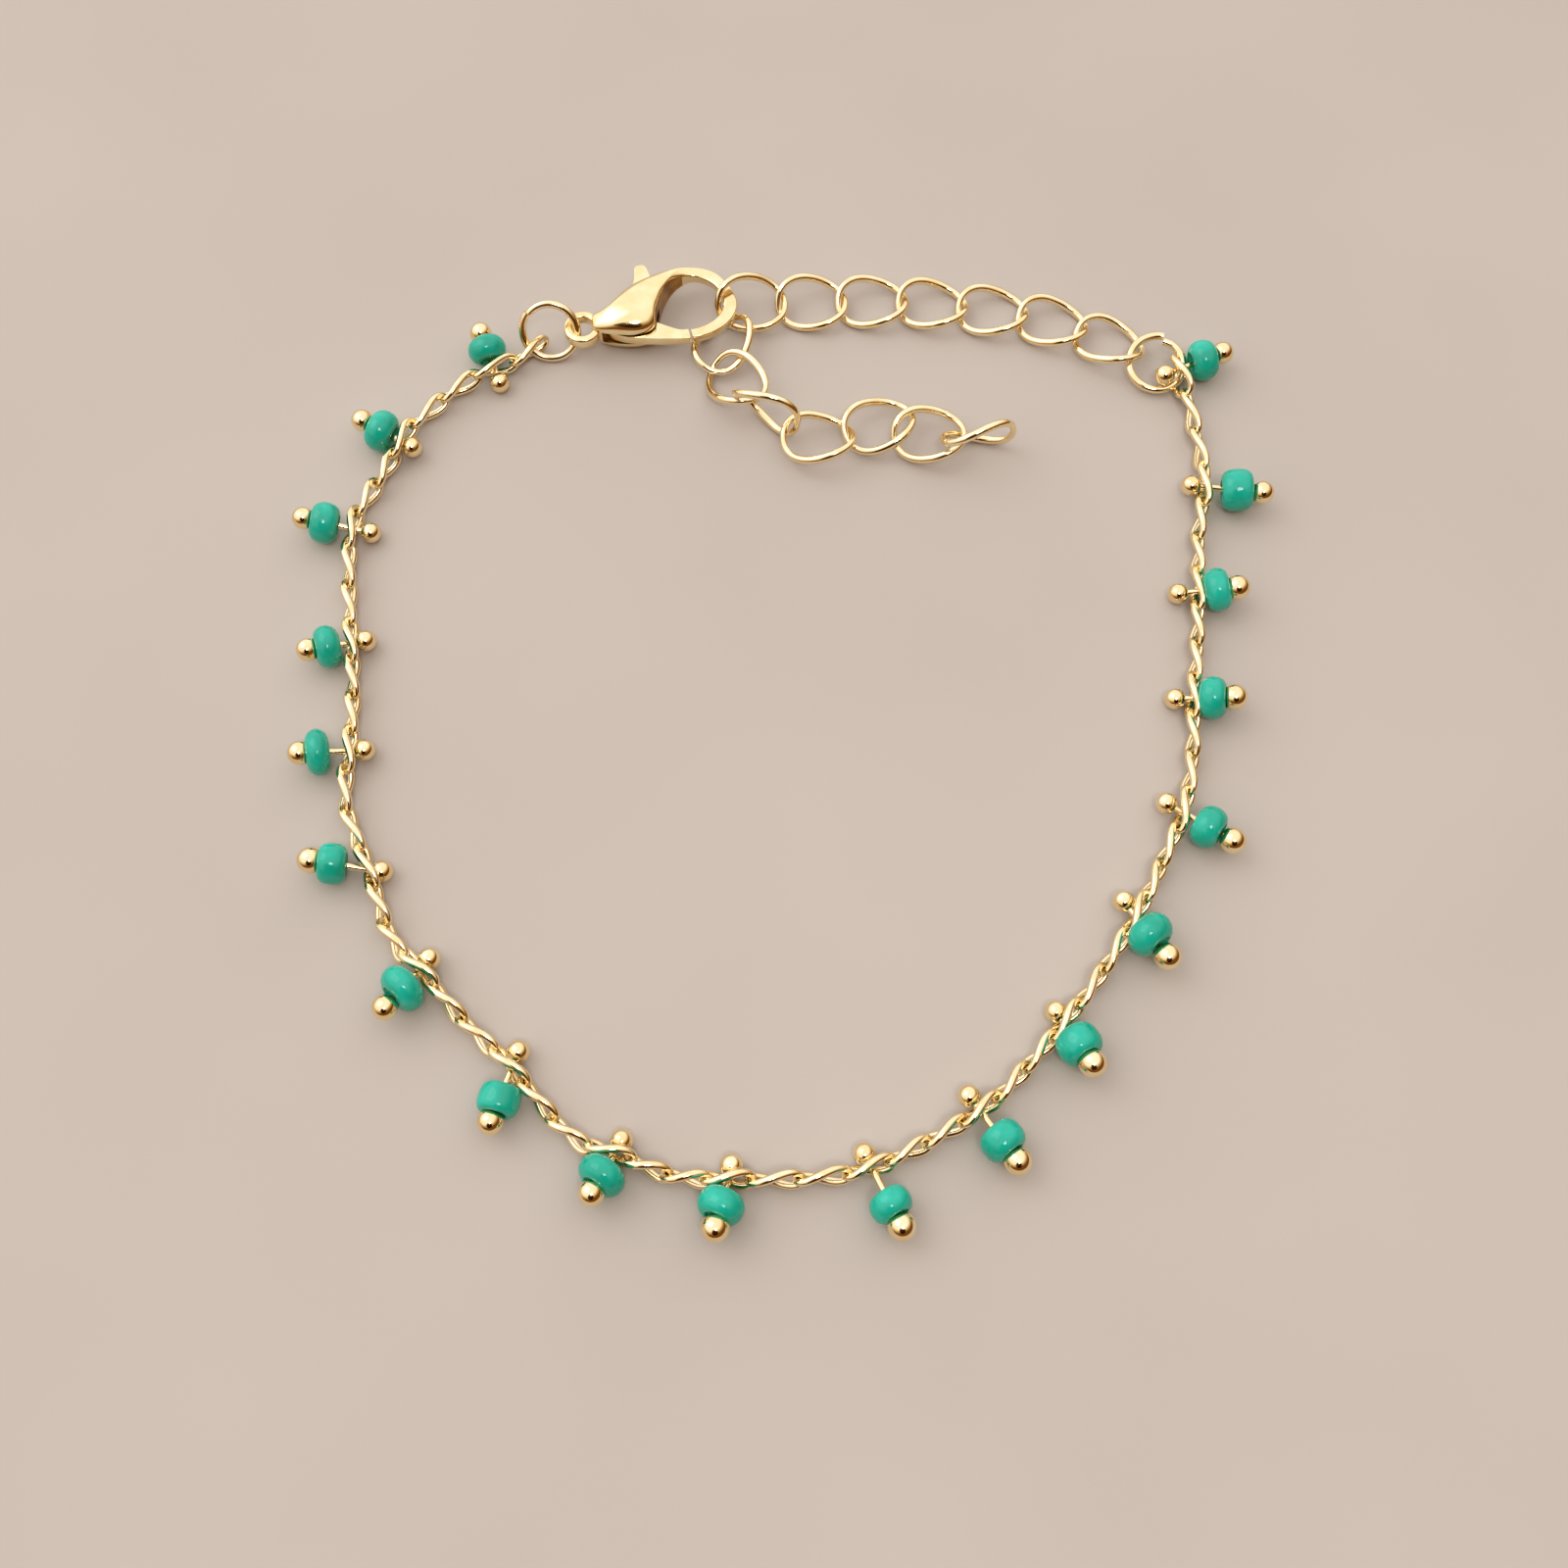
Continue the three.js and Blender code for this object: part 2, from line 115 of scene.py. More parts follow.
# Middle of each extender link, its heading, the tilt along it and the roll about it.
EXTENDER = np.array([
    [-2.22, 29.55, 1.35, 6, -10, 26],
    [1.9, 29.9, 0.9, 1, -4, 15],
    [6.06, 30.05, 0.78, -1, 0, 5],
    [10.22, 29.85, 0.78, -7, -1, 0],
    [14.35, 29.35, 0.72, -5, -1, 0],
    [18.43, 28.4, 0.74, -14, -1, -1],
    [22.2, 26.7, 0.88, -26, 2, -7],
    [-4.15, 26.65, 0.85, -115, 0, 10],
    [-3.26, 23.33, 1.25, -55.3, 13.7, 8.7],
    [-1.16, 20.56, 2.08, -29.7, -3.7, 98.2],
    [2.29, 18.87, 1.23, -0.8, 0.3, -4.5],
    [6.29, 19.99, 1.06, 18.7, 1.4, 3.1],
    [9.64, 19.2, 1.11, -1.1, 1.4, 9.2],
    [12.79, 18.62, 1.91, 6, 4.4, 116.1],
])
EXTENDER_HALF = (2.34, 1.76)
EXTENDER_WIRE = 0.22
EXTENDER_SWELL = 0.28
EXTENDER_TWIST = 25.0

RING_RADIUS = 1.85
RING_CUT = 0.03
# Middle, roll about X, where round the ring its cut ends meet, how far one end stands outside
# the other, and the wire's radius.
RINGS = {
    "jump_ring_left": ((-15.85, 26.95, 1.72), 52.0, 140.0, 0.1, 0.26),
    "jump_ring_right": ((25.33, 24.87, 0.9), 12.0, 76.0, 0.36, 0.27),
}

# Clasp, in its own frame: u from the base loop to the hook, v towards the spine.
CLASP_AT = np.array([-14.91, 26.93, 1.6])
CLASP_TURN = 9.7
# Stations from the neck, over the belly and round the hook to its tip: a point on the outer
# edge, one on the inner edge, half the depth there, the share of the section left by the flat
# inner wall, and the section's power, from round to boxy.
CLASP_STATIONS = np.array([
    [1.95, 0.5, 1.95, -0.35, 0.45, 1.0, 0.62],
    [2.05, 0.74, 2.05, -0.6, 0.75, 1.0, 0.62],
    [2.55, 0.84, 2.65, -0.9, 1.05, 0.97, 0.62],
    [3.25, 1.2, 3.5, -1.16, 1.34, 0.96, 0.66],
    [4.05, 1.9, 4.55, -1.37, 1.5, 0.95, 0.7],
    [4.9, 2.52, 5.45, -1.33, 1.51, 0.93, 0.72],
    [5.75, 2.98, 6.1, -0.92, 1.4, 0.9, 0.72],
    [6.6, 3.22, 6.42, 0.05, 1.26, 0.86, 0.7],
    [7.4, 3.38, 6.85, 1.2, 1.1, 0.84, 0.66],
    [8.15, 3.5, 7.5, 2.2, 0.92, 0.84, 0.6],
    [8.75, 3.58, 8.2, 2.68, 0.68, 0.9, 0.52],
    [9.4, 3.58, 8.95, 2.84, 0.44, 0.97, 0.44],
    [10.15, 3.38, 9.66, 2.66, 0.37, 1.0, 0.4],
    [10.9, 2.86, 10.36, 2.16, 0.36, 1.0, 0.4],
    [11.48, 1.99, 10.8, 1.53, 0.36, 1.0, 0.4],
    [11.83, 1.08, 10.98, 0.83, 0.36, 1.0, 0.4],
    [11.93, 0.18, 10.96, 0.18, 0.36, 1.0, 0.4],
    [11.63, -0.66, 10.76, -0.32, 0.36, 1.0, 0.4],
    [11.0, -1.36, 10.26, -0.82, 0.36, 1.0, 0.4],
    [10.2, -1.81, 9.62, -1.17, 0.36, 1.0, 0.4],
    [9.4, -2.05, 9.0, -1.34, 0.36, 1.0, 0.4],
    [8.54, -2.12, 8.48, -1.38, 0.36, 1.0, 0.38],
])
BASE_LOOP = (1.28, 0.0, 1.0)
BASE_LOOP_HALF = (0.3, 0.42)
HOOK_HOLE = (8.8, 0.6)
# The wall given painted shade, a darker and rougher gold: where it lies along the clasp, and how
# squarely it faces the hole.
SHADE_FROM, SHADE_TO = 5.2, 8.5
SHADE_FACING = 0.45
PIVOT = (4.0, -0.35)
PIVOT_RADIUS = 0.3
PIVOT_HALF = 0.9
PIVOT_HOLE = 0.42
SLOT_HALF_DEPTH = 0.5
SLOT = [
    [2.5, -2.6], [7.9, -2.6], [7.9, -0.4], [6.45, 0.6], [6.1, 1.15], [6.45, 2.55], [6.55, 3.4],
    [6.55, 5.0], [2.5, 5.0],
]
LEVER_HALF_DEPTH = 0.34
LEVER_WORN = 0.025
# The gate's outline as smooth runs that meet at its corners.
LEVER_RUNS = [
    [[8.38, -2.12], [8.36, -1.76], [8.32, -1.4]],
    [[8.32, -1.4], [7.75, -1.32], [7.1, -0.98], [6.42, -0.56]],
    [[6.42, -0.56], [5.8, -0.1], [5.7, 0.6], [5.8, 1.5], [6.25, 2.6], [6.36, 3.3], [6.2, 4.12]],
    [[6.2, 4.12], [6.05, 4.32], [5.75, 4.38], [5.5, 4.32], [5.38, 4.15]],
    [[5.38, 4.15], [5.22, 3.2], [4.7, 2.0], [3.9, 0.6], [3.2, 0.1]],
    [[3.2, 0.1], [2.84, -0.2], [2.8, -0.55]],
    [[2.8, -0.55], [3.3, -0.95], [4.2, -1.38], [5.4, -1.68], [6.9, -1.95], [8.38, -2.12]],
]

FLOOR_HALF = 1500.0
FLOOR_AT = -0.01
# Each soft light: its name, the way to it, how far off it is, its width and its power in watts.
LIGHTS = (
    ("window", (-0.62, 0.35, 0.8), 600.0, 420.0, 0.65),
    ("lamp", (0.08, -0.38, 0.9), 500.0, 110.0, 0.42),
)
CAMERA_AT = np.array([-0.047, -41.881, 96.19])
CAMERA_TILT = 21.0
CAMERA_LENS = 38.25


def linear(code):
    """Linear colour of an sRGB hex code: the curve is a power of 2.4 above a short straight foot."""
    part = np.array([int(code[i:i + 2], 16) for i in (1, 3, 5)]) / 255.0
    bent = np.where(part <= 0.04045, part / 12.92, ((part + 0.055) / 1.055) ** 2.4)
    return (*bent, 1.0)


def unit(v):
    """The same direction at length one."""
    return v / np.linalg.norm(v, axis=-1, keepdims=True)


def power(x, n):
    """A signed power: keeps the sign of x and raises its size to n."""
    return np.sign(x) * np.abs(x) ** n


def smooth_through(points, per_span, closed=False):
    """Catmull-Rom curve: each span is the cubic whose end slopes are half the step past it."""
    p = np.asarray(points, float)
    ends = (p[-1:], p[:2]) if closed else (2 * p[:1] - p[1:2], 2 * p[-1:] - p[-2:-1])
    p = np.concatenate([ends[0], p, ends[1]])
    a, b, c, d = (p[i:len(p) - 3 + i, None] for i in range(4))
    t = (np.arange(per_span) / per_span)[None, :, None]
    m0, m1 = (c - a) / 2, (d - b) / 2
    h = b + m0 * t + (3 * (c - b) - 2 * m0 - m1) * t**2 + (2 * (b - c) + m0 + m1) * t**3
    h = h.reshape(-1, p.shape[1])
    return h if closed else np.concatenate([h, p[-2:-1]])


def frame_of(heading, tilt):
    """Forward, left and upward directions for a heading in plan and a tilt above it, degrees."""
    h, t = np.radians(heading), np.radians(tilt)
    flat = np.zeros_like(h + t)
    along = np.stack([np.cos(h) * np.cos(t), np.sin(h) * np.cos(t), np.sin(t) + flat], -1)
    left = np.stack([-np.sin(h) + flat, np.cos(h) + flat, flat], -1)
    return along, left, np.cross(along, left)


# The chain's plan by distance along it, and the drops as they settle on it.
PLAN = smooth_through(ROUTE, 60)
PLAN_AT = np.concatenate([[0.0], np.cumsum(np.linalg.norm(np.diff(PLAN, axis=0), axis=1))])
CHAIN_LENGTH = PLAN_AT[-1]


def on_plan(at):
    """Point of the plan curve at a distance along it."""
    return np.stack([np.interp(at, PLAN_AT, PLAN[:, i]) for i in (0, 1)], -1)


def settled_lift(drop):
    """Lift of each pin so that its bead just touches the floor while its inner ball rests.

    The bead's lowest point is its half width and half length, less the rounded edge, turned by
    the lift, plus the edge; the lift is found by going round that a few times.
    """
    lift = np.full(len(drop), 0.25)
    for _ in range(8):
        reach = (drop["wide"] / 2 - BEAD_EDGE) * np.cos(lift)
        reach = reach + (drop["long"] / 2 - BEAD_EDGE) * np.sin(lift)
        lift = np.arcsin((reach + BEAD_EDGE - drop["rest"]) / drop["bead"])
    return lift


LIFT = settled_lift(DROPS)
PIN_ALONG = frame_of(DROPS["heading"], np.degrees(LIFT))[0]
PIN_HEIGHT = DROPS["rest"] + DROPS["back"] * np.sin(LIFT)
PIN_INNER = np.column_stack([on_plan(DROPS["at"]), PIN_HEIGHT]) - DROPS["back"][:, None] * PIN_ALONG

KNOT_AT = np.concatenate([[CHAIN_LINK_LENGTH / 2], DROPS["at"][:-1],
                          [CHAIN_LENGTH - CHAIN_LINK_LENGTH / 2]])
KNOT_HEIGHT = np.concatenate([[END_LINKS[0][0]], PIN_HEIGHT[:-1], [END_LINKS[1][0]]])


def on_chain(at):
    """Point on the chain: straight between drops in height, eased down by a squared sine."""
    straight = np.interp(at, KNOT_AT, KNOT_HEIGHT)
    span = np.clip(np.searchsorted(KNOT_AT, at) - 1, 0, len(KNOT_AT) - 2)
    u = np.clip((at - KNOT_AT[span]) / (KNOT_AT[span + 1] - KNOT_AT[span]), 0, 1)
    return np.column_stack([on_plan(at), straight + (CHAIN_LOW - straight) * np.sin(np.pi * u) ** 2])


def shell(points, wrap_rows, wrap_columns=True):
    """Skin over a grid of points, or a stack of grids: a face between each four neighbours.

    A closed skin whose signed volume comes out negative is turned, so faces point outwards.
    """
    stack = points.reshape(-1, *points.shape[-3:])
    count, rows, columns = stack.shape[:3]
    r = np.arange(rows if wrap_rows else rows - 1)[:, None]
    c = np.arange(columns if wrap_columns else columns - 1)[None, :]
    r1, c1 = (r + 1) % rows, (c + 1) % columns
    face = np.stack([r * columns + c, r1 * columns + c, r1 * columns + c1, r * columns + c1], -1)
    face = face.reshape(1, -1, 4) + (np.arange(count) * rows * columns)[:, None, None]
    corners, face = stack.reshape(-1, 3), face.reshape(-1, 4)
    a, b, c, d = (corners[face[:, i]] for i in range(4))
    volume = np.sum(a * np.cross(b, c)) + np.sum(a * np.cross(c, d))
    return corners, [face if volume > 0 else face[:, ::-1]]


def wire(path, middle, radius, sides):
    """Round wire along a loop: a circle across the path, its first spoke away from the middle."""
    ahead = unit(np.roll(path, -1, -2) - np.roll(path, 1, -2))
    away = path - middle[..., None, :]
    out = unit(away - np.sum(away * ahead, -1, keepdims=True) * ahead)
    across = np.cross(ahead, out)
    turn = (np.arange(sides) / sides * TURN)[:, None]
    spoke = np.cos(turn) * out[..., None, :] + np.sin(turn) * across[..., None, :]
    return path[..., None, :] + radius * spoke


def oval_path(middle, along, left, up, half, roll, twist, steps, full=2.25):
    """Oval link's centre line: a full ellipse whose cross direction turns steadily along it."""
    t = np.arange(steps) / steps * TURN
    x = power(np.cos(t), 2 / full)
    y = power(np.sin(t), 2 / full)
    phi = np.radians(roll[:, None] - twist[:, None] * x)
    x, y = half[:, :1] * x, half[:, 1:] * y
    path = middle[:, None] + x[..., None] * along[:, None]
    path = path + (y * np.cos(phi))[..., None] * left[:, None]
    return path + (y * np.sin(phi))[..., None] * up[:, None]


def turned(profile, origin, along, sides, ripple=0.0):
    """Surface of revolution: radius and height pairs swept round an axis from an origin.

    A ripple is the share by which the radius grows at each step of the turn.
    """
    first = unit(np.cross(along, UP))
    second = np.cross(along, first)
    turn = np.arange(sides) / sides * TURN
    spoke = np.cos(turn)[:, None] * first + np.sin(turn)[:, None] * second
    radius = profile[:, None, :1] * (1.0 + np.broadcast_to(ripple, sides)[None, :, None])
    return origin + radius * spoke[None] + profile[:, None, 1:] * along


def prism(outline, half):
    """Flat plate: an outline at two heights, with a face across each end."""
    n = len(outline)
    low = np.column_stack([outline, np.full(n, -half)])
    high = np.column_stack([outline, np.full(n, half)])
    i = np.arange(n)
    j = (i + 1) % n
    sides, ends = np.column_stack([i, j, j + n, i + n]), np.stack([i[::-1], i + n])
    turn = np.sum(outline[i, 0] * outline[j, 1] - outline[j, 0] * outline[i, 1])
    way = 1 if turn > 0 else -1
    return np.concatenate([low, high]), [sides[:, ::way], ends[:, ::way]]


def solid(name, skins, sharp=None):
    """Object from skins, each its corners and groups of faces; doubled corners become one."""
    mesh = bpy.data.meshes.new(name)
    faces, first = [], 0
    for places, groups in skins:
        for group in groups:
            faces += (group + first).tolist()
        first += len(places)
    mesh.from_pydata(np.concatenate([places for places, _ in skins]) * MM, [], faces)
    made = bmesh.new()
    made.from_mesh(mesh)
    bmesh.ops.remove_doubles(made, verts=made.verts, dist=1e-8)
    made.to_mesh(mesh)
    made.free()
    mesh.shade_smooth()
    if sharp is not None:
        mesh.set_sharp_from_angle(angle=np.radians(sharp))
    thing = bpy.data.objects.new(name, mesh)
    bpy.context.scene.collection.objects.link(thing)
    return thing


def finished(thing):
    """The object's mesh with its modifiers worked in."""
    seen = thing.evaluated_get(bpy.context.evaluated_depsgraph_get())
    mesh = bpy.data.meshes.new_from_object(seen)
    thing.modifiers.clear()
    thing.data = mesh
    return thing


def fit(thing, finish, body, slot, *nodes):
    """Give a piece its finish, its body and the CAD nodes that it stands for."""
    thing.data.materials.clear()
    thing.data.materials.append(finish)
    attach(thing, body)
    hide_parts(*nodes)
    return thing


def node(tree, kind, links=None, stops=None, **settings):
    """Add a node and its links. A setting in_X sets input X, others are the node's own settings.

    Stops, for a node with a colour band, are places and colours along the band.
    """
    made = tree.nodes.new(kind)
    for name, value in settings.items():
        if name.startswith("in_"):
            key = name[3:].replace("_", " ")
            made.inputs[int(key) if key.isdigit() else key].default_value = value
        else:
            setattr(made, name, value)
    for name, source in (links or {}).items():
        tree.links.new(source, made.inputs[name])
    for i, (place, colour) in enumerate(stops or []):
        band = made.color_ramp.elements
        element = band[i] if i < len(band) else band.new(place)
        element.position = place
        element.color = colour
    return made


def blank(name):
    """A new material with only its output and its shader."""
    material = bpy.data.materials.new(name)
    material.use_nodes = True
    tree = material.node_tree
    shader = tree.nodes["Principled BSDF"]
    place = node(tree, "ShaderNodeTexCoord").outputs["Object"]
    return material, tree, shader, place


def gold_plating(name, light, deep, smooth, dull, swell):
    """Bright gold plating over polished brass.

    Plating gives a mirror with a warm tint that drifts a little from place to place, handling
    leaves it duller in patches about a millimetre wide, and the polished metal below swells
    very slightly, which bends the reflections.
    """
    material, tree, shader, place = blank(name)
    drift = node(tree, "ShaderNodeTexNoise", {"Vector": place}, in_Scale=900.0, in_Detail=2.0)
    tint = node(tree, "ShaderNodeValToRGB", {"Fac": drift.outputs["Fac"]},
                [(0.3, linear(deep)), (0.7, linear(light))])
    wear = node(tree, "ShaderNodeTexNoise", {"Vector": place}, in_Scale=2600.0, in_Detail=4.0)
    rough = node(tree, "ShaderNodeMapRange", {"Value": wear.outputs["Fac"]},
                 in_From_Min=0.35, in_From_Max=0.7, in_To_Min=smooth, in_To_Max=dull)
    wave = node(tree, "ShaderNodeTexNoise", {"Vector": place}, in_Scale=1400.0, in_Detail=1.0)
    bump = node(tree, "ShaderNodeBump", {"Height": wave.outputs["Fac"]},
                in_Strength=swell, in_Distance=0.00004)
    tree.links.new(tint.outputs["Color"], shader.inputs["Base Color"])
    tree.links.new(rough.outputs["Result"], shader.inputs["Roughness"])
    tree.links.new(bump.outputs["Normal"], shader.inputs["Normal"])
    shader.inputs["Metallic"].default_value = 1.0
    return material


def green_glass(name, light, middle, deep):
    """Opaque turquoise-green glass, cut from drawn tube and fire-polished.

    Fire polish gives a soft gloss with fine pits, and the glass has paler and deeper drifts a
    millimetre or so across.
    """
    material, tree, shader, place = blank(name)
    drift = node(tree, "ShaderNodeTexNoise", {"Vector": place}, in_Scale=520.0, in_Detail=3.0,
                 in_Distortion=0.6)
    tint = node(tree, "ShaderNodeValToRGB", {"Fac": drift.outputs["Fac"]},
                [(0.3, linear(deep)), (0.52, linear(middle)), (0.75, linear(light))])
    haze = node(tree, "ShaderNodeTexNoise", {"Vector": place}, in_Scale=3200.0, in_Detail=3.0)
    rough = node(tree, "ShaderNodeMapRange", {"Value": haze.outputs["Fac"]},
                 in_From_Min=0.3, in_From_Max=0.7, in_To_Min=0.05, in_To_Max=0.13)
    wave = node(tree, "ShaderNodeTexNoise", {"Vector": place}, in_Scale=4200.0, in_Detail=2.0)
    bump = node(tree, "ShaderNodeBump", {"Height": wave.outputs["Fac"]},
                in_Strength=0.3, in_Distance=0.00003)
    tree.links.new(tint.outputs["Color"], shader.inputs["Base Color"])
    tree.links.new(rough.outputs["Result"], shader.inputs["Roughness"])
    tree.links.new(bump.outputs["Normal"], shader.inputs["Normal"])
    shader.inputs["IOR"].default_value = 1.48
    return material


WIRE_GOLD = gold_plating("gold_plated_drawn_wire", "#FCECC6", "#F8DEA9", 0.08, 0.17, 0.10)
BALL_GOLD = gold_plating("gold_plated_ball_heads", "#FCEBC2", "#F6D9A0", 0.05, 0.12, 0.06)
CAST_GOLD = gold_plating("gold_plated_casting", "#FCEABC", "#F6DAA2", 0.10, 0.19, 0.30)
# Darker, rougher gold that paints shade on the hook's inner wall and inside the slot.
SHADE_PAINTED_GOLD = gold_plating("gold_plated_casting_painted_shade", "#C79A55", "#8A5B26", 0.28, 0.42, 0.60)
GLASS = green_glass("fire_polished_green_glass", "#27C2AA", "#17B49A", "#12A488")


def make_chain():
    """Fifty-six twisted wire links, each one's front end held in the next one's back end.

    The links stand evenly along the chain, and then slip most of the way that brings every third
    one's middle to its drop; each is as long as the slipped spacing needs. The wire swells from
    a link's ends to the middle of its sides by a squared sine.
    """
    end = CHAIN_LINK_LENGTH / 2
    even = np.linspace(end, CHAIN_LENGTH - end, CHAIN_LINKS)
    count = np.arange(CHAIN_LINKS)
    holding = count[1:-1:3]
    slip = CHAIN_SLIP * (DROPS["at"][:-1] - even[holding])
    at = even + np.interp(count, [0, *holding, CHAIN_LINKS - 1], [0, *slip, 0])
    middle = on_chain(at) + SHIFT
    reach = 1.2
    along = unit(on_chain(np.minimum(at + reach, CHAIN_LENGTH)) - on_chain(np.maximum(at - reach, 0)))
    left = unit(np.cross(UP, along))
    half = np.column_stack([np.gradient(at) / 2 + CHAIN_WIRE + CHAIN_PLAY,
                            np.full(CHAIN_LINKS, CHAIN_LINK_HALF_WIDTH)])
    half[[0, -1], 0] = end - CHAIN_WIRE
    roll = CHAIN_ROLL + rng.uniform(-CHAIN_ROLL_SPREAD, CHAIN_ROLL_SPREAD, CHAIN_LINKS)
    twist = np.full(CHAIN_LINKS, CHAIN_TWIST)
    for i, (_, rolled, twisted, wide) in zip((0, -1), END_LINKS):
        roll[i], twist[i], half[i, 1] = rolled, twisted, wide
    steps = 48
    path = oval_path(middle, along, left, np.cross(along, left), half, roll, twist, steps)
    swell = np.sin(np.arange(steps) / steps * TURN)[:, None, None] ** 2
    radius = CHAIN_WIRE + (CHAIN_SWELL - CHAIN_WIRE) * swell
    links = solid("curb_chain_links", [shell(wire(path, middle, radius, 12), True)])
    fit(links, WIRE_GOLD, "bracelet", "gold_plate", "curb_chain")


def make_drops():
    """A ball-ended pin and its bead for each drop.

    The pin's profile is two arcs joined by its shaft. The bead's is a quarter of a full ellipse
    from its girth to its lip and a hollow quarter ellipse from there into its hole, both ways
    up, and its radius drifts by a couple of hundredths round it, as cut glass does.
    """
    bend = np.linspace(0, np.pi, 26)
    shaft_steps, pin_sides, bead_sides = 6, 28, 44
    for i, drop in enumerate(DROPS):
        number = f"{i + 1:02d}"
        near = bend[bend < np.pi - np.arcsin(PIN_WIRE / INNER_BALL)]
        far = bend[bend > np.arcsin(PIN_WIRE / drop["ball"])]
        foot = np.sqrt(INNER_BALL**2 - PIN_WIRE**2)
        top = np.sqrt(drop["ball"]**2 - PIN_WIRE**2)
        shaft = np.linspace(foot, drop["length"] - top, shaft_steps)
        profile = np.concatenate([
            np.column_stack([INNER_BALL * np.sin(near), -INNER_BALL * np.cos(near)]),
            np.column_stack([np.full(shaft_steps, PIN_WIRE), shaft]),
            np.column_stack([drop["ball"] * np.sin(far), drop["length"] - drop["ball"] * np.cos(far)]),
        ])
        profile[[0, -1], 0] = 0.0
        origin = PIN_INNER[i] + SHIFT
        skin = shell(turned(profile, origin, PIN_ALONG[i], pin_sides), False)
        pin = solid(f"ball_pin_{number}", [skin], WIRE_SHARP)
        fit(pin, BALL_GOLD, "bracelet", "gold_plate", f"pin_{number}")

        t = np.linspace(0, np.pi / 2, 16)
        bent = 2 / drop["square"]
        high = drop["long"] / 2
        side = np.column_stack([BEAD_LIP + (drop["wide"] / 2 - BEAD_LIP) * np.cos(t) ** bent,
                                high * np.sin(t) ** bent])
        dimple = np.column_stack([BEAD_LIP - (BEAD_LIP - BEAD_HOLE) * (1 - np.cos(t[3::3])),
                                  high - BEAD_DIP * np.sin(t[3::3])])
        upper = np.concatenate([side, dimple])
        profile = np.concatenate([upper, upper[:0:-1] * (1, -1)])
        tilted = frame_of(drop["heading"] + drop["askew"], np.degrees(LIFT[i]))[0]
        phase = rng.uniform(0, TURN, 2)
        girth = np.arange(bead_sides) / bead_sides * TURN
        ripple = sum(share * np.cos(n * girth + p) for (n, share), p in zip(BEAD_WAVES, phase))
        grown = turned(profile, origin + drop["bead"] * PIN_ALONG[i], tilted, bead_sides, ripple)
        bead = solid(f"glass_bead_{number}", [shell(grown, True)])
        fit(bead, GLASS, "bracelet", "green_glass", f"bead_{number}")


def make_extender():
    """Fourteen open curb links, each linked to the next; the wire swells along their sides."""
    x, y, z, heading, tilt, roll = EXTENDER.T
    middle = np.column_stack([x, y, z]) + SHIFT
    along, left, up = frame_of(heading, tilt)
    half = np.tile(EXTENDER_HALF, (len(x), 1))
    steps = 96
    path = oval_path(middle, along, left, up, half, roll, np.full(len(x), EXTENDER_TWIST), steps)
    swell = np.sin(np.arange(steps) / steps * TURN)[:, None, None] ** 2
    grid = wire(path, middle, EXTENDER_WIRE + (EXTENDER_SWELL - EXTENDER_WIRE) * swell, 14)
    for i in range(len(x)):
        link = solid(f"extender_link_{i + 1:02d}", [shell(grid[i], True)])
        fit(link, WIRE_GOLD, "bracelet", "gold_plate", f"link_{i + 1:02d}")


def make_rings():
    """Jump rings: round wire on a turn that closes in a little, so its flat cut ends pass by."""
    steps, sides = 97, 16
    for name, (middle, roll, cut, offset, thick) in RINGS.items():
        middle = np.array(middle) + SHIFT
        gap = RING_CUT / RING_RADIUS
        t = np.radians(cut) + np.linspace(gap, TURN - gap, steps)
        r = np.radians(roll)
        side = np.array([0.0, np.cos(r), np.sin(r)])
        out = np.cos(t)[:, None] * np.array([1.0, 0, 0]) + np.sin(t)[:, None] * side
        axis = np.cross([1.0, 0, 0], side)
        turn = (np.arange(sides) / sides * TURN)[None, :, None]
        reach = RING_RADIUS + offset * np.linspace(0.5, -0.5, steps)[:, None, None]
        grid = middle + (reach + thick * np.cos(turn)) * out[:, None]
        grid = grid + thick * np.sin(turn) * axis
        ends = [np.repeat(grid[k].mean(0)[None, None], sides, 1) for k in (0, -1)]
        grid = np.concatenate([ends[0], grid, ends[1]])
        ring = solid(f"{name}_wire", [shell(grid, False)], WIRE_SHARP)
        fit(ring, WIRE_GOLD, "bracelet", "gold_plate", name)


def in_clasp(points):
    """Clasp's own frame to the part's frame: a turn about the vertical, then its place."""
    a = np.radians(CLASP_TURN)
    u, v, w = np.moveaxis(np.asarray(points, float), -1, 0)
    plan = [u * np.cos(a) - v * np.sin(a), u * np.sin(a) + v * np.cos(a), w]
    return np.stack(plan, -1) + CLASP_AT + SHIFT


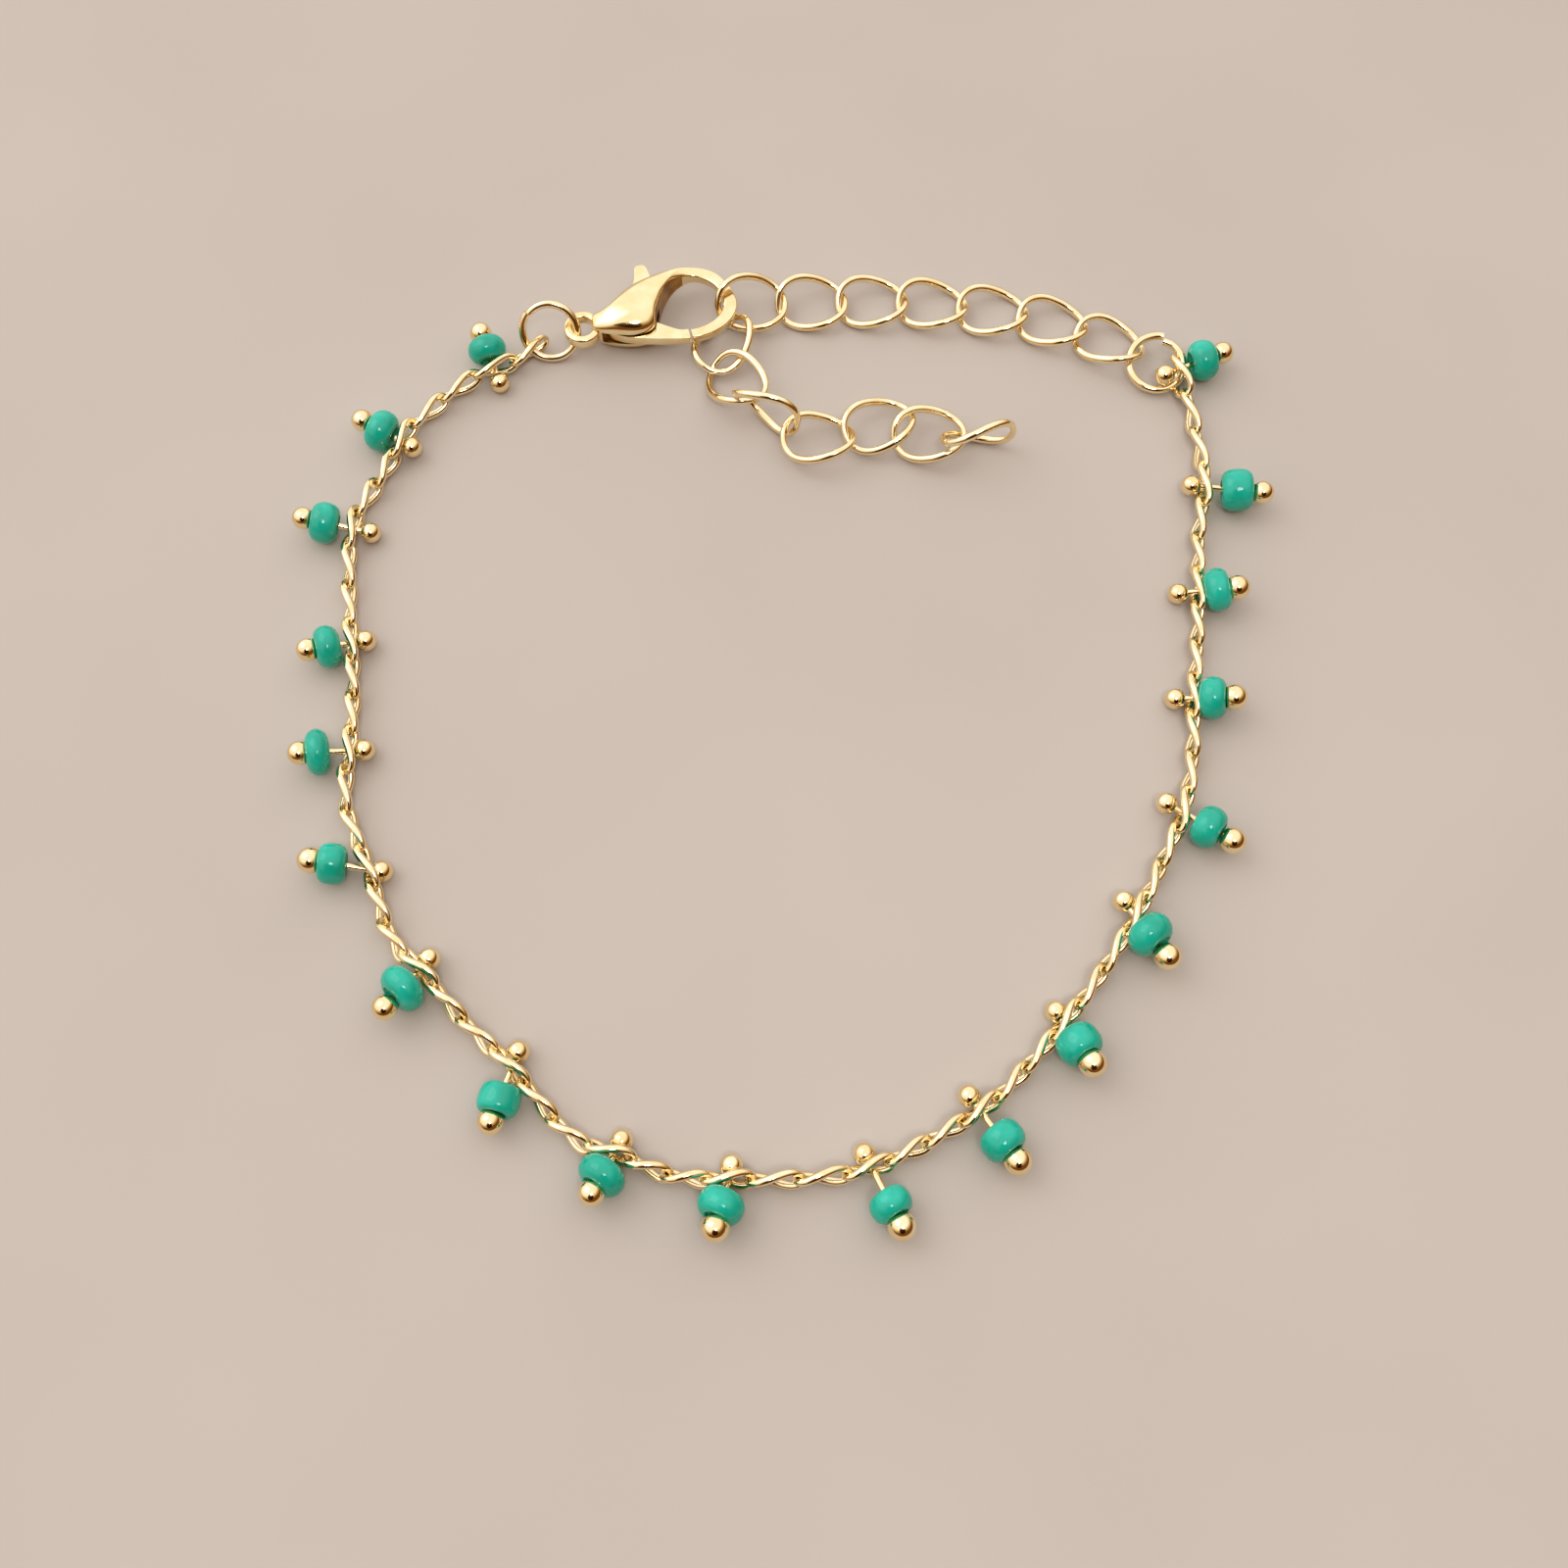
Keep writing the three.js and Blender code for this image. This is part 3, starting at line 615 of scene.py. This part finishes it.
def clasp_casting():
    """Belly and hook: a section carried from the neck to the hook's tip between two edges.

    The section is an ellipse raised to a power, from round to boxy, that reaches from the
    outer edge past the inner one, and is cut off there by a flat wall.
    """
    station = smooth_through(CLASP_STATIONS, 10)
    outer, inner = station[:, 0:2], station[:, 2:4]
    depth, share, bent = (station[:, i, None] for i in (4, 5, 6))
    width = np.linalg.norm(outer - inner, axis=1)[:, None]
    reach = width / (1.0 + np.minimum(share, 0.999))
    stop = np.pi - np.arccos(np.minimum(share, 0.999) ** (1.0 / bent))
    arc = stop * np.linspace(0, 1, 25)
    x = reach * power(np.cos(arc), bent)
    z = depth * power(np.sin(arc), bent)
    wall = np.linspace(1, -1, 9)[1:-1] * z[:, -1:]
    x = np.concatenate([x, np.repeat(x[:, -1:], 7, 1), x[:, ::-1]], 1)[:, :-1]
    z = np.concatenate([z, wall, -z[:, ::-1]], 1)[:, :-1]
    across = (outer - inner) / width
    plan = outer[:, None] + (x - reach)[..., None] * across[:, None]
    grid = np.concatenate([plan, z[..., None]], -1)
    ends = [np.repeat(grid[k].mean(0)[None, None], grid.shape[1], 1) for k in (0, -1)]
    return shell(np.concatenate([ends[0], grid, ends[1]]), False)


def make_clasp():
    """Clasp: the slotted casting with its base loop and pivot, and the sprung gate in the slot.

    The belly's wall towards the hook's hole and the slot's sides get a darker, rougher gold as painted
    shade.
    """
    corners, faces = clasp_casting()
    body = solid("clasp_casting", [(in_clasp(corners), faces)])
    corners, faces = prism(np.array(SLOT), SLOT_HALF_DEPTH)
    cutter = solid("slot_cutter", [(in_clasp(corners), faces)])
    cut = body.modifiers.new("slot", "BOOLEAN")
    cut.operation = "DIFFERENCE"
    cut.solver = "EXACT"
    cut.object = cutter
    finished(body)
    bpy.data.objects.remove(cutter)

    t = np.arange(64) / 64 * TURN
    a = np.arange(20) / 20 * TURN
    u, v, radius = BASE_LOOP
    swell = radius + BASE_LOOP_HALF[0] * power(np.cos(a), 0.6)[None, :]
    loop = np.stack([u + swell * np.cos(t)[:, None], v + swell * np.sin(t)[:, None],
                     np.broadcast_to(BASE_LOOP_HALF[1] * power(np.sin(a), 0.6), (64, 20))], -1)
    round_post = np.column_stack([PIVOT[0] + PIVOT_RADIUS * np.cos(t),
                                  PIVOT[1] + PIVOT_RADIUS * np.sin(t)])
    post, post_faces = prism(round_post, PIVOT_HALF)
    loop_corners, loop_faces = shell(loop, True)
    extra = solid("clasp_extra", [(in_clasp(loop_corners), loop_faces), (in_clasp(post), post_faces)])
    whole = bmesh.new()
    whole.from_mesh(body.data)
    whole.from_mesh(extra.data)
    whole.to_mesh(body.data)
    whole.free()
    bpy.data.objects.remove(extra)
    body.data.shade_smooth()
    body.data.set_sharp_from_angle(angle=np.radians(CAST_SHARP))
    fit(body, CAST_GOLD, "bracelet", "gold_plate", "clasp_body")
    body.data.materials.append(SHADE_PAINTED_GOLD)
    sides = body.data.polygons
    centre, facing = np.empty((2, len(sides) * 3))
    sides.foreach_get("center", centre)
    sides.foreach_get("normal", facing)
    centre, facing = centre.reshape(-1, 3) / MM, facing.reshape(-1, 3)
    base, ahead, hole = in_clasp([[0, 0, 0], [1, 0, 0], [*HOOK_HOLE, 0]])
    inward = np.sum(unit(hole - centre) * facing, 1)
    along = (centre - base) @ (ahead - base)
    # Painted shade: the belly's upright wall facing the hook's hole, between the given distances, gets
    # the darker gold.
    wall = (inward > SHADE_FACING) & (np.abs(facing[:, 2]) < SHADE_FACING)
    wall = wall & (along > SHADE_FROM) & (along < SHADE_TO)
    # Painted shade: faces inside the slot that turn toward the casting's mid-height also get the
    # darker gold.
    slot = (centre[:, 2] - CLASP_AT[2]) * facing[:, 2] < -0.2
    sides.foreach_set("material_index", (wall | slot).astype(np.int32))

    outline = np.concatenate([smooth_through(run, 8)[:-1] for run in LEVER_RUNS])
    corners, faces = prism(outline, LEVER_HALF_DEPTH)
    gate = solid("clasp_gate", [(in_clasp(corners), faces)])
    hole = np.column_stack([PIVOT[0] + PIVOT_HOLE * np.cos(t), PIVOT[1] + PIVOT_HOLE * np.sin(t)])
    corners, faces = prism(hole, 1.0)
    drill = solid("pivot_drill", [(in_clasp(corners), faces)])
    cut = gate.modifiers.new("pivot", "BOOLEAN")
    cut.operation = "DIFFERENCE"
    cut.solver = "EXACT"
    cut.object = drill
    edge = gate.modifiers.new("worn_edge", "BEVEL")
    edge.width = LEVER_WORN * MM
    edge.segments = 3
    edge.limit_method = "ANGLE"
    edge.angle_limit = np.radians(40)
    finished(gate)
    bpy.data.objects.remove(drill)
    gate.data.shade_smooth()
    gate.data.set_sharp_from_angle(angle=np.radians(CAST_SHARP))
    fit(gate, CAST_GOLD, "lever", "gold_plate", "clasp_lever")


def make_stage():
    """Pale floor, the soft surround, two soft lights and the camera at the photo's angle."""
    square = FLOOR_HALF * np.array([[-1, -1, 0], [1, -1, 0], [1, 1, 0], [-1, 1, 0]])
    floor = solid("pale_floor", [(square + FLOOR_AT * UP, [np.array([[0, 1, 2, 3]])])])
    material, tree, shader, place = blank("matt_pale_board")
    grain = node(tree, "ShaderNodeTexNoise", {"Vector": place}, in_Scale=40.0, in_Detail=2.0)
    tint = node(tree, "ShaderNodeValToRGB", {"Fac": grain.outputs["Fac"]},
                [(0.3, linear("#C0B4AA")), (0.7, linear("#C4B8AE"))])
    tree.links.new(tint.outputs["Color"], shader.inputs["Base Color"])
    shader.inputs["Roughness"].default_value = 0.9
    floor.data.materials.append(material)

    world = bpy.data.worlds.new("soft_surround")
    bpy.context.scene.world = world
    world.use_nodes = True
    tree = world.node_tree
    way = node(tree, "ShaderNodeTexCoord").outputs["Generated"]
    bright = node(tree, "ShaderNodeVectorMath", {0: way}, operation="DOT_PRODUCT",
                  in_1=(-0.3, 0.45, 0.84))
    sky = node(tree, "ShaderNodeValToRGB", {"Fac": bright.outputs["Value"]},
               [(0.0, (0.14, 0.055, 0.01, 1)), (0.25, (0.52, 0.36, 0.19, 1)),
                (0.5, (0.95, 0.92, 0.87, 1)), (0.75, (1, 1, 1, 1)), (1.0, (0.98, 0.98, 1, 1))])
    dark = (0.05, 0.022, 0.008, 1)
    toward = node(tree, "ShaderNodeVectorMath", {0: way}, operation="DOT_PRODUCT",
                  in_1=(0.0, -0.69, 0.72))
    card = node(tree, "ShaderNodeValToRGB", {"Fac": toward.outputs["Value"]},
                [(0.0, (1, 1, 1, 1)), (0.9, (1, 1, 1, 1)), (0.935, dark), (1.0, dark)])
    mixed = node(tree, "ShaderNodeMix", {"A": sky.outputs["Color"], "B": card.outputs["Color"]},
                 data_type="RGBA", blend_type="MULTIPLY", in_Factor=1.0)
    tree.links.new(mixed.outputs["Result"], tree.nodes["Background"].inputs["Color"])
    tree.nodes["Background"].inputs["Strength"].default_value = 1.2

    scene = bpy.context.scene
    for name, way, far, size, watts in LIGHTS:
        light = bpy.data.lights.new(name, "AREA")
        light.size = size * MM
        light.energy = watts
        lamp = bpy.data.objects.new(name, light)
        place = unit(np.array(way)) * far * MM
        lamp.location = place
        lamp.rotation_euler = Vector(place).to_track_quat("Z", "Y").to_euler()
        scene.collection.objects.link(lamp)

    camera = bpy.data.cameras.new("camera")
    camera.lens = CAMERA_LENS
    camera.sensor_width = 36.0
    camera.clip_start = 0.005
    eye = bpy.data.objects.new("camera", camera)
    eye.location = CAMERA_AT * MM
    eye.rotation_euler = (np.radians(CAMERA_TILT), 0.0, 0.0)
    scene.collection.objects.link(eye)
    scene.camera = eye
    scene.view_settings.view_transform = "Standard"


make_chain()
make_drops()
make_extender()
make_rings()
make_clasp()
make_stage()
